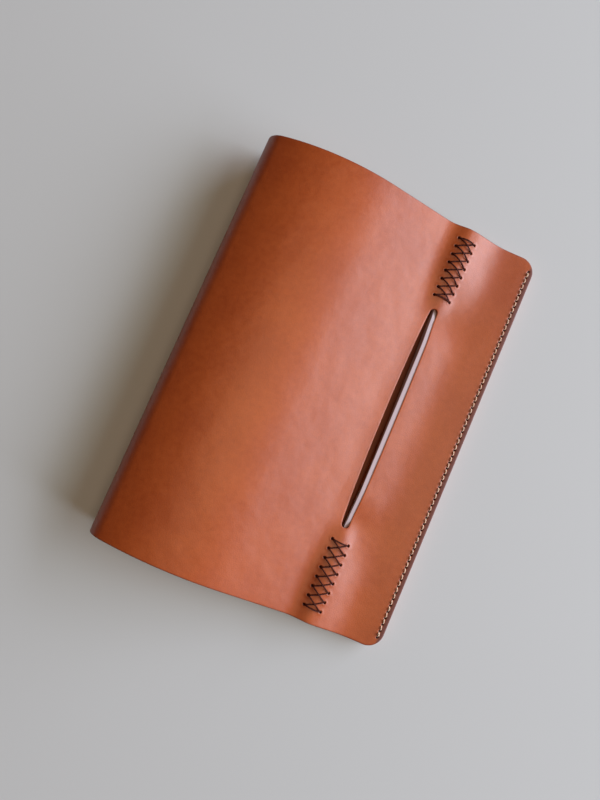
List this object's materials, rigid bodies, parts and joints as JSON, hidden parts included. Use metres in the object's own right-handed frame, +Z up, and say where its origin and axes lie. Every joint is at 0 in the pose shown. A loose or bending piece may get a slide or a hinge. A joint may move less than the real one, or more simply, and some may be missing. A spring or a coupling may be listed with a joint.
{
  "type": "leather notebook cover",
  "caption": "Folded leather cover for a bound notebook, with a soft spine, a flap inside each panel, a long slit, cross stitching and a sewn fore edge.",
  "frame": {"origin": "centre of the footprint of the closed cover, on the surface that its back lies on", "axes": "+Z up, +X from the spine to the fore edge, +Y towards the head of the cover"},
  "size_m": [0.157, 0.22, 0.0316],
  "materials": {
    "cover_leather": "smooth vegetable-tanned leather, satin",
    "flap_leather": "pale undyed leather, matt",
    "seam_thread": "waxed cream linen thread",
    "lace_thread": "waxed dark brown linen thread"
  },
  "bodies": {
    "back": {"back_panel": "cover_leather", "back_flap": "flap_leather", "back_seam_thread": "seam_thread"},
    "spine": {"spine": "cover_leather"},
    "front": {"front_panel": "cover_leather", "front_flap": "flap_leather", "front_seam_thread": "seam_thread", "upper_cross_stitch": "lace_thread", "lower_cross_stitch": "lace_thread"}
  },
  "joints": [
    {"name": "back_fold", "type": "hinge", "parent": "back", "child": "spine", "pos_m": [-0.07517, 0, 0.00333], "axis": [0, -1, 0], "range_deg": [0, 90]},
    {"name": "front_fold", "type": "hinge", "parent": "spine", "child": "front", "pos_m": [-0.07411, 0, 0.02717], "axis": [0, -1, 0], "range_deg": [0, 90]}
  ],
  "couplings": [
    {"joint": "front_fold", "follows": "back_fold", "ratio": 1}
  ]
}
